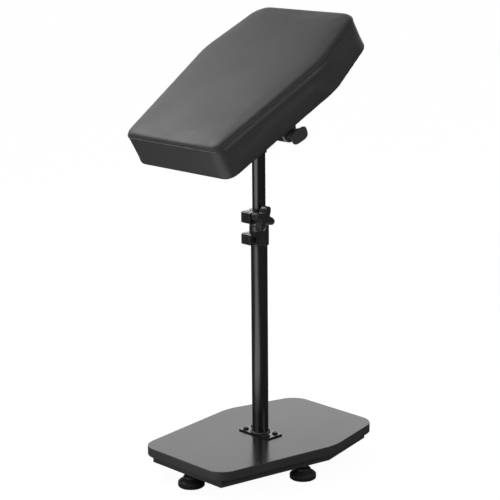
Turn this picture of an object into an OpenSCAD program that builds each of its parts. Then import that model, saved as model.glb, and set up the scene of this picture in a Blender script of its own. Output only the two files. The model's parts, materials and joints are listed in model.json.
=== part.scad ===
/* [Base boards] */
// Length of the base board, end to end
base_len = 422; // [380:1:480]
// Width of the base board at its bend, where it is widest
base_bend_w = 306; // [270:1:340]
// Width of the base board at its two ends
base_end_w = 221; // [190:1:250]
// How far the bend lies ahead of the pole
base_bend_x = 53; // [20:1:80]
// Thickness of the base board
base_t = 18; // [15:0.5:22]
// Corner radius at the near end
base_near_r = 37; // [20:1:45]
// Corner radius at the far end
base_far_r = 40; // [20:1:45]
// Corner radius at the bend
base_bend_r = 96; // [60:1:110]
// Thickness of the under board
under_t = 17; // [14:0.5:20]
// How far the under board is set in from the base board's edge
under_inset = 16; // [12:1:22]
// Corner radius of the under board
under_r = 3; // [2:0.5:8]

/* [Levelling feet] */
// Height of the under board above the floor
foot_h = 25; // [23:0.5:30]
// Diameter of a foot's ribbed rim
foot_d = 51; // [44:0.5:56]
// Height of the ribbed rim
foot_rim_h = 10; // [7:0.5:11]
// Height of a foot pad to the top of its neck
foot_pad_h = 20.8; // [19:0.1:21.5]
// Diameter of the neck
foot_neck_d = 30.4; // [26:0.2:34]
// Distance of the two end feet from the board's ends
foot_end_inset = 29; // [26:1:45]
// Distance of the two side feet from the sides' widest lines
foot_side_inset = 33.5; // [30:0.5:48]
// How far the side feet lie behind the pole
foot_side_back = 3; // [0:0.5:10]
// Diameter of a foot's threaded stud
stud_d = 8; // [6:0.5:10]
// Number of ribs round the rim
foot_ribs = 60; // [40:1:72]

/* [Pole] */
// Length of the flange across the base
flange_l = 82; // [74:1:100]
// Width of the flange along the base
flange_w = 40; // [38:1:50]
// Thickness of the flange
flange_t = 3; // [2:0.5:5]
// Distance between the flange screws across the base
flange_screw_y = 60; // [54:1:64]
// Distance between the flange screws along the base
flange_screw_x = 21; // [19:1:26]
// Diameter of the outer tube
outer_d = 32; // [30:0.1:35]
// Length of the outer tube
outer_len = 409; // [340:1:450]
// Diameter of the inner tube
inner_d = 25.4; // [24:0.1:26.5]
// Wall of both tubes
tube_wall = 1.5; // [1.2:0.1:2]
// Length of inner tube that stays inside the outer tube at rest
inner_insert_l = 180; // [150:1:200]

/* [Height clamp] */
// Outer diameter of the clamp's collar
clamp_d = 37.6; // [36:0.2:44]
// How far the collar reaches down the outer tube
clamp_grip_low = 34; // [30:1:45]
// How far the collar reaches up the inner tube
clamp_grip_high = 36; // [32:1:42]
// How far the ears reach out from the pole's axis
ear_reach = 35; // [32:0.5:42]
// Width of a pair of ears, across the slit
ear_w = 25; // [22:0.5:30]
// Height of the lower ears
ear_low_h = 22; // [18:0.5:25]
// Height of the upper ears
ear_high_h = 22.5; // [20:0.5:25]
// Width of the slit between the ears
slit_w = 1.6; // [1:0.1:2.4]
// Distance of the clamp bolt from the pole's axis
clamp_bolt_x = 21; // [19.5:0.5:24]
// Diameter of the clamp bolt
clamp_bolt_d = 8; // [6:0.5:8]
// Distance of the lock screw from the pole's axis
lock_x = 26; // [23:0.5:28]
// Diameter of the lock screw
lock_d = 6; // [4:0.5:6]

/* [Clamp knob] */
// Diameter across the four lobes
clamp_knob_d = 50; // [42:1:54]
// Thickness of the lobed head
clamp_knob_t = 16; // [12:0.5:20]
// Length of the hub between washer and head
clamp_hub_l = 10.5; // [9:0.5:20]
// Diameter of the hub
clamp_hub_d = 17; // [15:0.5:20]
// Angle of the first lobe above the horizontal
clamp_knob_turn = 67; // [0:1:90]

/* [Tilt head] */
// Height of the tilt axis above the floor
pivot_h = 661; // [630:1:710]
// Diameter of the cross tube
head_d = 32; // [30:0.5:35]
// Length of the cross tube
head_len = 160; // [140:1:180]
// Distance from the tilt axis to the underside of the pad
pivot_drop = 50; // [46:0.5:60]
// Thickness of the bracket's steel
bracket_t = 4; // [3:0.5:5]
// Length of the bracket along the pad
bracket_len = 59; // [50:1:80]
// Radius of a bracket ear round the tilt bolt
bracket_ear_r = 14; // [12.5:0.5:18]
// Distance between the bracket screws along the pad
bracket_screw_u = 38; // [34:1:44]
// Distance between the bracket screws across the pad
bracket_screw_v = 110; // [90:1:130]
// Diameter of the tilt bolt
tilt_bolt_d = 10; // [8:0.5:10]

/* [Tilt knob] */
// Length of the tilt knob over its two wings
tilt_knob_d = 41; // [36:1:50]
// Width of the wings
tilt_knob_w = 26; // [22:1:32]
// Thickness of the wings
tilt_knob_t = 11.5; // [9:0.5:16]
// Length of the hub between washer and wings
tilt_hub_l = 8.5; // [6:0.5:14]
// Diameter of the hub
tilt_hub_d = 23; // [19:0.5:27]
// Angle of the wings to the pad
tilt_knob_turn = -11; // [-90:1:90]

/* [Pad] */
// Angle of the pad above the horizontal
pad_tilt = 31; // [0:0.5:60]
// Length of the pad
pad_len = 413; // [370:1:460]
// Distance from the tilt axis to the near end, along the pad
pad_near = 190.5; // [165:0.5:225]
// Distance from the tilt axis to the bend, along the pad
pad_bend = 80.5; // [55:0.5:115]
// Width of the pad at its bend
pad_bend_w = 318; // [280:1:350]
// Width of the pad at its two ends
pad_end_w = 251; // [220:1:270]
// Height of the cushion's side
pad_t = 68; // [50:1:90]
// How much the cushion's top rises above its edge
pad_crown = 5; // [2:0.5:10]
// How far the straight sides are drawn in
pad_draw = 1; // [0:0.1:4]
// Corner radius at the near end
pad_near_r = 21; // [15:1:35]
// Corner radius at the far end
pad_far_r = 36; // [20:1:45]
// Corner radius at the bend
pad_bend_r = 107; // [60:1:120]
// Radius of the padded top edge
pad_edge_r = 12; // [8:0.5:18]
// Depth of the seam below the top
pad_seam = 16; // [14:0.5:20]
// Thickness of the plywood board in the pad's underside
pad_board_t = 10; // [9:0.5:15]
// Width of cushion that wraps down round the board
pad_wrap = 6; // [4:0.5:10]

/* [Hidden] */
$fn = 64;

// Colours, as the photograph shows them
laminate_black = [0.16, 0.16, 0.17];
edge_black = [0.10, 0.10, 0.11];
coat_black = [0.09, 0.09, 0.10];
plastic_black = [0.12, 0.12, 0.13];
leather_black = [0.14, 0.14, 0.15];
zinc = [0.62, 0.63, 0.65];
dark_steel = [0.20, 0.20, 0.21];
brass = [0.72, 0.58, 0.30];
nylon = [0.80, 0.80, 0.78];
plywood = [0.70, 0.56, 0.38];

// Clearances
slide_gap = 0.05;
seat_gap = 0.1;
face_gap = 0.3;
over = 1;

// Heights, from the floor up
under_z = foot_h;
base_z = under_z + under_t;
top_z = base_z + base_t;
tube_z = top_z + flange_t;
outer_top = tube_z + outer_len;

// Tubes
outer_r = outer_d / 2;
outer_bore_r = outer_r - tube_wall;
inner_r = inner_d / 2;
inner_bore_r = inner_r - tube_wall;
inner_z = outer_top - inner_insert_l;

// Board fixings
board_screw_r = 2;
board_screw_head_r = 4;
board_screw_head_h = 2.2;
board_screw_l = 30;
board_screw_end_share = 0.72;
board_screw_side_share = 0.55;
board_screw_bend_share = 0.7;

// Tee nuts for the feet
foot_nut_flange_r = 9.5;
foot_nut_flange_t = 1.5;
foot_nut_r = 5;
foot_nut_l = 13;

// Foot places and profile
foot_end_x = base_len / 2 - foot_end_inset;
foot_side_y = base_bend_w / 2 - foot_side_inset;
stud_r = stud_d / 2;
foot_r = foot_d / 2;
foot_rib = 0.5;
foot_chamfer = 1;
foot_neck_r = foot_neck_d / 2;
foot_neck_h = 3.8;
foot_neck_lip = 1.3;
foot_pin_r = 5;
foot_pin_l = 9;
stud_collar_r = 7.5;
stud_collar_gap = 0.3;
stud_tip = 3;
foot_dome_shares = [[0.84, 0.21], [0.56, 0.49], [0.22, 0.78], [0.04, 0.97]];

// Flange fixings
flange_screw_r = 3;
flange_screw_head_r = 5.6;
flange_screw_head_h = 3.2;
button_crown_share = 0.8;
flange_corner_r = 2;
flange_socket_r = 2.3;
flange_socket_h = 1.8;
nut_pocket_r = 8.6;
nut_pocket_h = 9;
flange_washer_r = 8;
flange_washer_t = 1.6;
flange_nut_r = 5.77;
flange_nut_h = 5.2;
screw_end_gap = 1;
weld_leg = 3.5;

// Guide bush and slide bush
guide_len = 40;
guide_rim_t = 3;
bush_outer_r = outer_bore_r - slide_gap;
slide_bush_len = 30;
slide_bush_lip_t = 3;
slide_bush_lip = 3;

// Height clamp
clamp_r = clamp_d / 2;
clamp_low_z = outer_top - clamp_grip_low;
clamp_step_z = outer_top + guide_rim_t + seat_gap;
clamp_high_z = outer_top + clamp_grip_high;
clamp_chamfer = 1.5;
ear_low_rise = 5;
ear_low_z = clamp_low_z + ear_low_rise;
ear_high_fall = 1;
ear_high_z = clamp_high_z - ear_high_h - ear_high_fall;
ear_corner_r = 4;
relief_w = 1.6;
relief_rise = 1;
relief_z = clamp_step_z + relief_rise;
lock_z = ear_low_z + ear_low_h / 2;
clamp_bolt_rise = 1.25;
clamp_bolt_z = ear_high_z + ear_high_h / 2 + clamp_bolt_rise;
groove_d = 0.8;
groove_w = 1.2;
groove_pitch = 5;

// Lock screw and nut
lock_r = lock_d / 2;
lock_head_r = 5;
lock_head_h = 6;
lock_socket_r = 2.9;
lock_socket_h = 3;
lock_sink = 3;
lock_nut_r = 5.77;
lock_nut_h = 5;

// Clamp bolt, its washer and knob
clamp_bolt_r = clamp_bolt_d / 2;
clamp_head_r = 7.5;
clamp_head_h = 5.3;
clamp_head_sink = 3.3;
clamp_washer_r = 10;
clamp_washer_t = 1.6;
spot_face_gap = 0.6;
clamp_hub_r = clamp_hub_d / 2;
clamp_hub_rings = 3;
clamp_ring_w = 2.6;
clamp_ring_out = 1;
clamp_lobes = 4;
clamp_waist_r = 12;
clamp_insert_r = 6;
knob_edge = 2.4;
knob_edge_share = 0.45;
knob_dish = 2;
knob_cover = 4;
knob_facets = 96;

// Tilt head
head_r = head_d / 2;
head_wall = 2;
head_bore_r = head_r - head_wall;
head_bush_flange_t = 3.5;
head_bush_l = 15;
socket_wall = 2.8;
socket_len = 44;
tilt_bolt_r = tilt_bolt_d / 2;
tilt_head_r = 9.24;
tilt_head_h = 6.4;
bracket_screw_r = 3;
bracket_screw_head_r = 5.6;
bracket_screw_head_h = 3.4;
bracket_screw_l = 11;
tee_flange_r = 9;
tee_flange_t = 1.4;
tee_barrel_r = 4;
ear_in_y = head_len / 2 + head_bush_flange_t + face_gap;
ear_out_y = ear_in_y + bracket_t;
plate_w = pivot_drop - bracket_t;

// Tilt washer and knob
tilt_washer_r = 12;
tilt_washer_t = 2;
tilt_hub_r = tilt_hub_d / 2;
tilt_squareness = 3.2;
tilt_tip_share = 0.36;
tilt_insert_r = 7.5;

// Cushion
seam_tuck = 0.9;
side_swell = 0.6;
cushion_min_r = 6;
corner_steps = 6;
side_steps = 3;
board_steps = 12;
crown_steps = 4;
crown_run = 92;
edge_steps = 4;

// Corners of a six-sided board: near left, near right, bend right, far right, far left, bend left
function coffin(near_x, bend_x, far_x, end_w, bend_w) = [
    [near_x, end_w / 2], [near_x, -end_w / 2], [bend_x, -bend_w / 2],
    [far_x, -end_w / 2], [far_x, end_w / 2], [bend_x, bend_w / 2]];

function unit(v) = v / norm(v);

function leftwards(v) = [-v[1], v[0]];

function before(p, i) = p[(i + len(p) - 1) % len(p)];

function after(p, i) = p[(i + 1) % len(p)];

// One corner moved inwards by a distance from both of its sides
function inset_corner(a, b, c, d) =
    let (m = leftwards(unit(b - a)), n = leftwards(unit(c - b)))
    b + (m + n) * d / (1 + m * n);

function inset_corners(p, d) =
    [for (i = [0:len(p) - 1]) inset_corner(before(p, i), p[i], after(p, i), d)];

// Points of the arc that rounds one corner
function corner_arc(a, b, c, r, steps) =
    let (u = unit(a - b), v = unit(c - b), half = acos(u * v) / 2,
        centre = b + unit(u + v) * r / sin(half),
        first = b + u * r / tan(half) - centre,
        start = atan2(first[1], first[0]), turn = 180 - 2 * half)
    [for (i = [0:steps]) centre + r * [cos(start + turn * i / steps), sin(start + turn * i / steps)]];

function corner_arcs(p, radii, steps) =
    [for (i = [0:len(p) - 1]) corner_arc(before(p, i), p[i], after(p, i), radii[i], steps)];

function rounded(p, radii, steps) = [for (arc = corner_arcs(p, radii, steps)) each arc];

base_corners = coffin(-base_len / 2, base_bend_x, base_len / 2, base_end_w, base_bend_w);
base_radii = [base_near_r, base_near_r, base_bend_r, base_far_r, base_far_r, base_bend_r];
under_corners = inset_corners(base_corners, under_inset);
pad_corners = coffin(-pad_near, pad_bend, pad_len - pad_near, pad_end_w, pad_bend_w);
pad_radii = [pad_near_r, pad_near_r, pad_bend_r, pad_far_r, pad_far_r, pad_bend_r];

foot_places = [[-foot_end_x, 0], [foot_end_x, 0],
    [-foot_side_back, foot_side_y], [-foot_side_back, -foot_side_y]];
flange_places = [for (sx = [-1, 1], sy = [-1, 1]) [sx * flange_screw_x / 2, sy * flange_screw_y / 2]];
board_screw_places = [
    for (sx = [-1, 1], sy = [-1, 1])
        [sx * base_len / 2 * board_screw_end_share, sy * base_end_w / 2 * board_screw_side_share],
    for (sy = [-1, 1]) [base_bend_x, sy * base_bend_w / 2 * board_screw_bend_share]];
bracket_places = [for (su = [-1, 1], sv = [-1, 1]) [su * bracket_screw_u / 2, sv * bracket_screw_v / 2]];

// A drawing in X and Z, thickened along Y from y0 to y1
module along_y(y0, y1) {
    translate([0, y1, 0]) rotate([90, 0, 0]) linear_extrude(y1 - y0) children();
}

// A round bar along Y
module bar_y(r, y0, y1) {
    along_y(y0, y1) circle(r);
}

module pipe(outer, bore, z0, z1) {
    translate([0, 0, z0]) difference() {
        cylinder(h = z1 - z0, r = outer);
        translate([0, 0, -over]) cylinder(h = z1 - z0 + 2 * over, r = bore);
    }
}

module drill(r, z0, z1) {
    translate([0, 0, z0]) cylinder(h = z1 - z0, r = r);
}

// The frame of the pad: the tilt axis is its origin, X runs up the pad and Z leaves its top
module tilted() {
    translate([0, 0, pivot_h]) rotate([0, -pad_tilt, 0]) children();
}

module at_each(places) {
    for (p = places) translate([p[0], p[1], 0]) children();
}

// Base boards

module base_board() {
    color(laminate_black) difference() {
        translate([0, 0, base_z]) linear_extrude(base_t)
            polygon(rounded(base_corners, base_radii, board_steps));
        at_each(flange_places) drill(flange_screw_r + seat_gap, base_z - over, top_z + over);
        at_each(board_screw_places)
            drill(board_screw_r + slide_gap, base_z - over, under_z + board_screw_l + over);
    }
}

module under_board() {
    color(edge_black) difference() {
        translate([0, 0, under_z]) linear_extrude(under_t)
            polygon(rounded(under_corners, [for (c = under_corners) under_r], board_steps));
        at_each(flange_places) drill(flange_screw_r + seat_gap, under_z - over, base_z + over);
        at_each(flange_places) drill(nut_pocket_r, under_z - over, under_z + nut_pocket_h);
        at_each(foot_places) drill(foot_nut_r + slide_gap, under_z - over, base_z + over);
        at_each(foot_places)
            drill(foot_nut_flange_r + seat_gap, under_z - over, under_z + foot_nut_flange_t);
        at_each(board_screw_places) drill(board_screw_r + slide_gap, under_z - over, base_z + over);
        at_each(board_screw_places) translate([0, 0, under_z])
            cylinder(h = board_screw_head_h, r1 = board_screw_head_r + slide_gap,
                r2 = board_screw_r + slide_gap);
    }
}

module board_screws() {
    color(dark_steel) at_each(board_screw_places) translate([0, 0, under_z]) rotate_extrude()
        polygon([[0, 0], [board_screw_head_r, 0], [board_screw_r, board_screw_head_h],
            [board_screw_r, board_screw_l - board_screw_head_r], [0, board_screw_l]]);
}

module foot_tee_nuts() {
    color(zinc) at_each(foot_places) translate([0, 0, under_z]) difference() {
        union() {
            cylinder(h = foot_nut_flange_t, r = foot_nut_flange_r);
            cylinder(h = foot_nut_l, r = foot_nut_r);
        }
        translate([0, 0, -over]) cylinder(h = foot_nut_l + 2 * over, r = stud_r + slide_gap);
    }
}

// Pole

module pole_flange() {
    corners = [for (s = [[-1, 1], [-1, -1], [1, -1], [1, 1]]) [s[0] * flange_w / 2, s[1] * flange_l / 2]];
    color(coat_black) difference() {
        translate([0, 0, top_z]) linear_extrude(flange_t)
            polygon(rounded(corners, [for (c = corners) flange_corner_r], board_steps));
        at_each(flange_places) drill(flange_screw_r + seat_gap, top_z - over, tube_z + over);
    }
}

module flange_screws() {
    tip_z = under_z + screw_end_gap;
    color(dark_steel) at_each(flange_places) difference() {
        rotate_extrude() polygon([[0, tip_z], [flange_screw_r, tip_z], [flange_screw_r, tube_z],
            [flange_screw_head_r, tube_z], [flange_screw_head_r, tube_z + flange_screw_head_h / 2],
            [flange_screw_head_r * button_crown_share, tube_z + flange_screw_head_h],
            [0, tube_z + flange_screw_head_h]]);
        translate([0, 0, tube_z + flange_screw_head_h - flange_socket_h])
            cylinder(h = flange_socket_h + over, r = flange_socket_r, $fn = 6);
    }
}

module flange_washers() {
    z = under_z + nut_pocket_h - flange_washer_t;
    color(zinc) at_each(flange_places)
        pipe(flange_washer_r, flange_screw_r + seat_gap, z, z + flange_washer_t);
}

module flange_nuts() {
    z = under_z + nut_pocket_h - flange_washer_t - flange_nut_h;
    color(zinc) at_each(flange_places) translate([0, 0, z]) difference() {
        cylinder(h = flange_nut_h, r = flange_nut_r, $fn = 6);
        translate([0, 0, -over]) cylinder(h = flange_nut_h + 2 * over, r = flange_screw_r + slide_gap);
    }
}

module outer_tube() {
    color(coat_black) pipe(outer_r, outer_bore_r, tube_z, outer_top);
}

module tube_weld() {
    color(coat_black) rotate_extrude()
        polygon([[outer_r + slide_gap, tube_z], [outer_r + weld_leg, tube_z],
            [outer_r + slide_gap, tube_z + weld_leg]]);
}

module guide_bush() {
    color(plastic_black) union() {
        pipe(bush_outer_r, inner_r + slide_gap, outer_top - guide_len, outer_top);
        pipe(outer_r, inner_r + slide_gap, outer_top, outer_top + guide_rim_t);
    }
}

// Height clamp

module clamp_collar() {
    h = clamp_high_z - clamp_low_z;
    translate([0, 0, clamp_low_z]) rotate_extrude()
        polygon([[0, 0], [clamp_r - clamp_chamfer, 0], [clamp_r, clamp_chamfer],
            [clamp_r, h - clamp_chamfer], [clamp_r - clamp_chamfer, h], [0, h]]);
}

// A pair of ears, drawn from the side and thickened across the slit
module ears(z, h) {
    corners = [[-ear_reach, z + h], [-ear_reach, z], [0, z], [0, z + h]];
    along_y(-ear_w / 2, ear_w / 2)
        polygon(rounded(corners, [ear_corner_r, ear_corner_r, over, over], corner_steps));
}

// Shallow upright grooves on the front of a pair of ears
module ear_grooves(z, h) {
    for (s = [-1, 1]) translate([-ear_reach, s * groove_pitch, z + h / 2])
        cube([2 * groove_d, groove_w, 2 * h], center = true);
}

module clamp_body() {
    color(plastic_black) difference() {
        union() {
            clamp_collar();
            ears(ear_low_z, ear_low_h);
            ears(ear_high_z, ear_high_h);
        }
        drill(outer_r + slide_gap, clamp_low_z - over, clamp_step_z);
        drill(inner_r + slide_gap, clamp_low_z - over, clamp_high_z + over);
        translate([-ear_reach - over, -slit_w / 2, clamp_low_z - over])
            cube([ear_reach + over, slit_w, ear_low_h + ear_low_z - clamp_low_z + 2 * over]);
        translate([-ear_reach - over, -slit_w / 2, relief_z])
            cube([ear_reach + over, slit_w, clamp_high_z - relief_z + over]);
        translate([-clamp_r - over, -clamp_r - over, relief_z])
            cube([clamp_r + over, 2 * (clamp_r + over), relief_w]);
        translate([-lock_x, 0, lock_z]) {
            bar_y(lock_r + seat_gap, -ear_w, ear_w);
            bar_y(lock_head_r + seat_gap, -ear_w, lock_sink - ear_w / 2);
            rotate([0, 30, 0]) along_y(ear_w / 2 - lock_sink, ear_w) circle(lock_nut_r + seat_gap, $fn = 6);
        }
        translate([-clamp_bolt_x, 0, clamp_bolt_z]) {
            bar_y(clamp_bolt_r + seat_gap, -ear_w, ear_w);
            bar_y(clamp_washer_r + spot_face_gap, -ear_w, -ear_w / 2);
            along_y(ear_w / 2 - clamp_head_sink, ear_w) circle(clamp_head_r + seat_gap, $fn = 6);
        }
        ear_grooves(ear_low_z, ear_low_h);
        ear_grooves(ear_high_z, ear_high_h);
    }
}

module lock_screw() {
    head_y = lock_sink - ear_w / 2;
    color(dark_steel) translate([-lock_x, 0, lock_z]) difference() {
        union() {
            bar_y(lock_r, head_y - over, ear_w / 2 - lock_sink + lock_nut_h);
            bar_y(lock_head_r, head_y - lock_head_h, head_y);
        }
        along_y(head_y - lock_head_h - over, head_y - lock_head_h + lock_socket_h)
            circle(lock_socket_r, $fn = 6);
    }
}

module lock_nut() {
    color(dark_steel) translate([-lock_x, 0, lock_z]) difference() {
        rotate([0, 30, 0]) along_y(ear_w / 2 - lock_sink, ear_w / 2 - lock_sink + lock_nut_h)
            circle(lock_nut_r, $fn = 6);
        bar_y(lock_r + slide_gap, 0, ear_w);
    }
}

clamp_head_y = ear_w / 2 - clamp_head_sink;
clamp_washer_y = -ear_w / 2 - face_gap;
clamp_hub_y = clamp_washer_y - clamp_washer_t - face_gap;
clamp_face_y = clamp_hub_y - clamp_hub_l;
clamp_insert_y = clamp_hub_y - over;
clamp_insert_l = clamp_hub_l + clamp_knob_t - knob_cover;

module clamp_bolt() {
    color(zinc) translate([-clamp_bolt_x, 0, clamp_bolt_z]) {
        bar_y(clamp_bolt_r, clamp_insert_y - clamp_insert_l + stud_tip, clamp_head_y + over);
        along_y(clamp_head_y, clamp_head_y + clamp_head_h) circle(clamp_head_r, $fn = 6);
    }
}

module clamp_washer() {
    color(zinc) translate([-clamp_bolt_x, 0, clamp_bolt_z]) difference() {
        bar_y(clamp_washer_r, clamp_washer_y - clamp_washer_t, clamp_washer_y);
        bar_y(clamp_bolt_r + slide_gap, clamp_washer_y - clamp_washer_t - over, clamp_washer_y + over);
    }
}

// Outline with lobes that swell and narrow by one wave each
function lobed(tip_r, waist_r, lobes, first) =
    [for (i = [0:knob_facets - 1]) let (a = 360 * i / knob_facets,
        r = (tip_r + waist_r) / 2 + (tip_r - waist_r) / 2 * cos(lobes * (a - first)))
        r * [cos(a), sin(a)]];

// A swing between -1 and 1 that stays longer at its ends as squareness grows beyond 2
function squared(v, squareness) = sign(v) * pow(abs(v), 2 / squareness);

// Outline of an oval with fuller corners, turned by an angle
function squared_oval(length, width, squareness, turn) =
    [for (i = [0:knob_facets - 1]) let (a = 360 * i / knob_facets,
        x = length / 2 * squared(cos(a), squareness), y = width / 2 * squared(sin(a), squareness))
        [x * cos(turn) - y * sin(turn), x * sin(turn) + y * cos(turn)]];

// A lobed head with rounded rims, from its outer face at y = 0 to its back at y = t,
// where the tips are tip_t thick and the back rises to the hub
module knob_head(outline_points, tip_r, t, tip_t, hub_r) {
    edge = min(knob_edge, knob_edge_share * tip_t);
    intersection() {
        along_y(0, t) polygon(outline_points);
        rotate([-90, 0, 0]) rotate_extrude() polygon([[0, knob_dish], [tip_r / 2, knob_dish],
            [tip_r / 2 + knob_dish, 0], [tip_r - edge, 0], [tip_r - edge / 3, edge / 3],
            [tip_r, edge], [tip_r, tip_t - edge], [tip_r - edge / 3, tip_t - edge / 3],
            [tip_r - edge, tip_t],
            [hub_r, t], [0, t]]);
    }
}

module clamp_knob() {
    ring_pitch = clamp_hub_l / clamp_hub_rings;
    color(plastic_black) translate([-clamp_bolt_x, 0, clamp_bolt_z]) difference() {
        union() {
            bar_y(clamp_hub_r, clamp_face_y, clamp_hub_y);
            for (i = [0:clamp_hub_rings - 1])
                bar_y(clamp_hub_r + clamp_ring_out, clamp_hub_y - ring_pitch * i - clamp_ring_w,
                    clamp_hub_y - ring_pitch * i);
            translate([0, clamp_face_y - clamp_knob_t, 0])
                knob_head(lobed(clamp_knob_d / 2, clamp_waist_r, clamp_lobes, clamp_knob_turn),
                    clamp_knob_d / 2, clamp_knob_t, clamp_knob_t, clamp_hub_r);
        }
        bar_y(clamp_insert_r + seat_gap, clamp_insert_y - clamp_insert_l, clamp_insert_y);
        bar_y(clamp_bolt_r + seat_gap, clamp_insert_y - over, clamp_hub_y + over);
    }
}

module clamp_knob_insert() {
    color(brass) translate([-clamp_bolt_x, 0, clamp_bolt_z]) difference() {
        bar_y(clamp_insert_r, clamp_insert_y - clamp_insert_l, clamp_insert_y);
        bar_y(clamp_bolt_r + slide_gap, clamp_insert_y - clamp_insert_l + over, clamp_insert_y + over);
    }
}

// Levelling feet

function ribbed(r, rib, count) = [for (i = [0:2 * count - 1])
    (r - rib * (i % 2)) * [cos(180 * i / count), sin(180 * i / count)]];

module foot_pad() {
    shoulder_h = foot_pad_h - foot_neck_h - foot_rim_h;
    rim_r = foot_r - foot_rib;
    color(plastic_black) difference() {
        union() {
            cylinder(h = foot_chamfer, r1 = foot_r - 2 * foot_chamfer, r2 = foot_r - foot_chamfer);
            translate([0, 0, foot_chamfer]) linear_extrude(foot_rim_h - foot_chamfer)
                polygon(ribbed(foot_r, foot_rib, foot_ribs));
            rotate_extrude() polygon([[0, foot_rim_h], [rim_r, foot_rim_h],
                for (s = foot_dome_shares)
                    [foot_neck_r + (rim_r - foot_neck_r) * s[0], foot_rim_h + shoulder_h * s[1]],
                [foot_neck_r, foot_pad_h - foot_neck_lip], [foot_neck_r - foot_neck_lip, foot_pad_h],
                [0, foot_pad_h]]);
        }
        drill(foot_pin_r + slide_gap, foot_pad_h - foot_pin_l, foot_pad_h + over);
    }
}

module foot_stud() {
    pin_z = foot_pad_h - foot_pin_l + slide_gap;
    collar_top = under_z - stud_collar_gap;
    color(zinc) union() {
        drill(foot_pin_r, pin_z, foot_pad_h + seat_gap);
        drill(stud_collar_r, foot_pad_h + seat_gap, collar_top);
        drill(stud_r, collar_top - over, base_z - stud_tip);
    }
}

module foot_part(i, stud) {
    translate([foot_places[i][0], foot_places[i][1], 0]) {
        if (stud) foot_stud();
        else foot_pad();
    }
}

module near_foot_pad() {
    foot_part(0, false);
}

module near_foot_stud() {
    foot_part(0, true);
}

module far_foot_pad() {
    foot_part(1, false);
}

module far_foot_stud() {
    foot_part(1, true);
}

module left_foot_pad() {
    foot_part(2, false);
}

module left_foot_stud() {
    foot_part(2, true);
}

module right_foot_pad() {
    foot_part(3, false);
}

module right_foot_stud() {
    foot_part(3, true);
}

// Inner tube and head

module slide_bush() {
    z = inner_z - seat_gap;
    color(nylon) union() {
        pipe(bush_outer_r, inner_r + slide_gap, z, z + slide_bush_len);
        pipe(bush_outer_r, inner_r - slide_bush_lip, z - slide_bush_lip_t, z);
    }
}

module inner_tube() {
    color(coat_black) difference() {
        pipe(inner_r, inner_bore_r, inner_z, pivot_h);
        translate([0, 0, pivot_h]) bar_y(head_r, -head_len / 2, head_len / 2);
    }
}

module head_socket() {
    color(coat_black) difference() {
        pipe(inner_r + socket_wall, inner_r + slide_gap, pivot_h - socket_len, pivot_h);
        translate([0, 0, pivot_h]) bar_y(head_r, -head_len / 2, head_len / 2);
    }
}

module head_tube() {
    color(coat_black) translate([0, 0, pivot_h]) difference() {
        bar_y(head_r, -head_len / 2, head_len / 2);
        bar_y(head_bore_r, -head_len, head_len);
    }
}

module head_bushes() {
    color(nylon) translate([0, 0, pivot_h]) for (s = [0, 1]) mirror([0, s, 0]) difference() {
        union() {
            bar_y(head_bore_r - slide_gap, head_len / 2 - head_bush_l, head_len / 2 + over);
            bar_y(head_r, head_len / 2, head_len / 2 + head_bush_flange_t);
        }
        bar_y(tilt_bolt_r + slide_gap, head_len / 2 - head_bush_l - over, head_len);
    }
}

// Tilt bracket

module bracket_plate() {
    color(coat_black) tilted() difference() {
        translate([-bracket_len / 2, -ear_out_y, plate_w]) cube([bracket_len, 2 * ear_out_y, bracket_t]);
        at_each(bracket_places) drill(bracket_screw_r + seat_gap, plate_w - over, pivot_drop + over);
    }
}

// An ear: sides that run from the plate to a round end about the tilt bolt
module bracket_ear() {
    top_x = bracket_len / 2;
    reach = norm([top_x, plate_w]);
    touch = atan2(plate_w, top_x) - acos(bracket_ear_r / reach);
    along_y(ear_in_y, ear_out_y) difference() {
        union() {
            circle(bracket_ear_r);
            polygon([[-top_x, plate_w], [-bracket_ear_r * cos(touch), bracket_ear_r * sin(touch)],
                [bracket_ear_r * cos(touch), bracket_ear_r * sin(touch)], [top_x, plate_w]]);
        }
        circle(tilt_bolt_r + seat_gap);
    }
}

module bracket_ear_left() {
    color(coat_black) tilted() bracket_ear();
}

module bracket_ear_right() {
    color(coat_black) tilted() mirror([0, 1, 0]) bracket_ear();
}

module bracket_screws() {
    color(dark_steel) tilted() at_each(bracket_places) union() {
        drill(bracket_screw_r, plate_w - over, plate_w + bracket_screw_l);
        translate([0, 0, plate_w - bracket_screw_head_h]) rotate_extrude()
            polygon([[0, 0], [bracket_screw_head_r / 2, 0], [bracket_screw_head_r, bracket_screw_head_h / 2],
                [bracket_screw_head_r, bracket_screw_head_h], [0, bracket_screw_head_h]]);
    }
}

module bracket_tee_nuts() {
    top = pivot_drop + pad_board_t;
    color(zinc) tilted() at_each(bracket_places) difference() {
        union() {
            drill(tee_barrel_r, pivot_drop + over, top);
            drill(tee_flange_r, top - tee_flange_t, top);
        }
        drill(bracket_screw_r + slide_gap, pivot_drop, top + over);
    }
}

// Pad

module pad_board() {
    inset = pad_wrap + face_gap;
    corners = inset_corners(pad_corners, inset);
    top = pivot_drop + pad_board_t;
    color(plywood) tilted() difference() {
        translate([0, 0, pivot_drop]) linear_extrude(pad_board_t)
            polygon(rounded(corners, [for (r = pad_radii) r - inset], board_steps));
        at_each(bracket_places) drill(tee_barrel_r + slide_gap, pivot_drop - over, top + over);
        at_each(bracket_places) drill(tee_flange_r + seat_gap, top - tee_flange_t, top + over);
    }
}

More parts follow.
